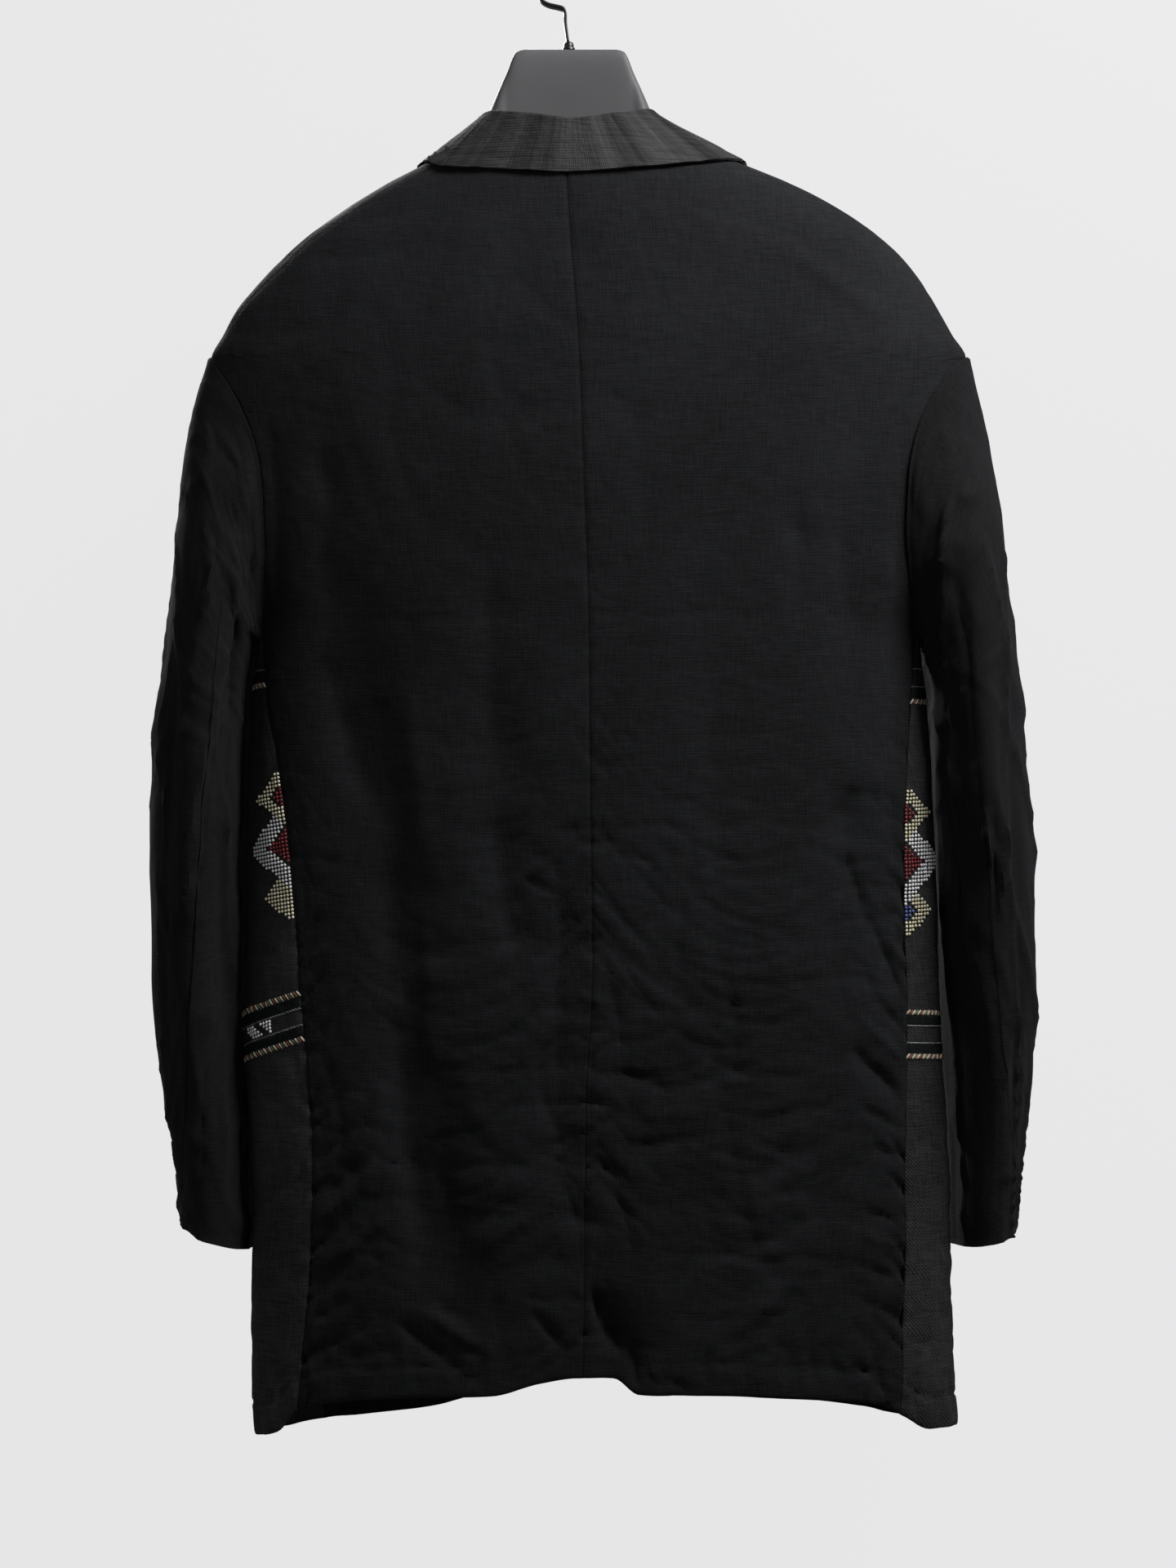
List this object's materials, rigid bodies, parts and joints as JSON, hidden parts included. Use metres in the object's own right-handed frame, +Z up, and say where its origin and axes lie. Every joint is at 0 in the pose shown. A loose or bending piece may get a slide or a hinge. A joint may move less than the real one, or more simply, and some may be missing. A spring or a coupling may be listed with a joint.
{
  "type": "embroidered jacket on a hanger",
  "caption": "Long black linen jacket with woven, bead-embroidered side panels and a washed collar, hanging on a broad hanger, as a rigid garment.",
  "frame": {"origin": "the inner top of the hanger's hook, where it bears on a rod", "axes": "+Z up along the garment, +X to the wearer's right, +Y to the front, so the back faces -Y"},
  "size_m": [0.5935, 0.1588, 1.0008],
  "materials": {
    "linen": "matt black washed linen",
    "twill": "coarse black twill",
    "collar": "streaky charcoal linen",
    "button": "dark polished horn look",
    "plastic": "smooth satin grey",
    "metal": "blackened, softly glossy"
  },
  "bodies": {
    "root": {"back_left": "linen", "back_right": "linen", "front_left": "linen", "front_right": "linen", "lapel_left": "linen", "lapel_right": "linen", "sleeve_top_left": "linen", "sleeve_top_right": "linen", "sleeve_under_left": "linen", "sleeve_under_right": "linen", "side_panel_left": "twill", "side_panel_right": "twill", "collar": "collar", "cuff_button_left_1": "button", "cuff_button_left_2": "button", "cuff_button_right_1": "button", "cuff_button_right_2": "button", "front_button_1": "button", "front_button_2": "button", "hanger_body": "plastic", "hanger_hook": "metal", "hanger_nut": "metal"}
  },
  "joints": []
}
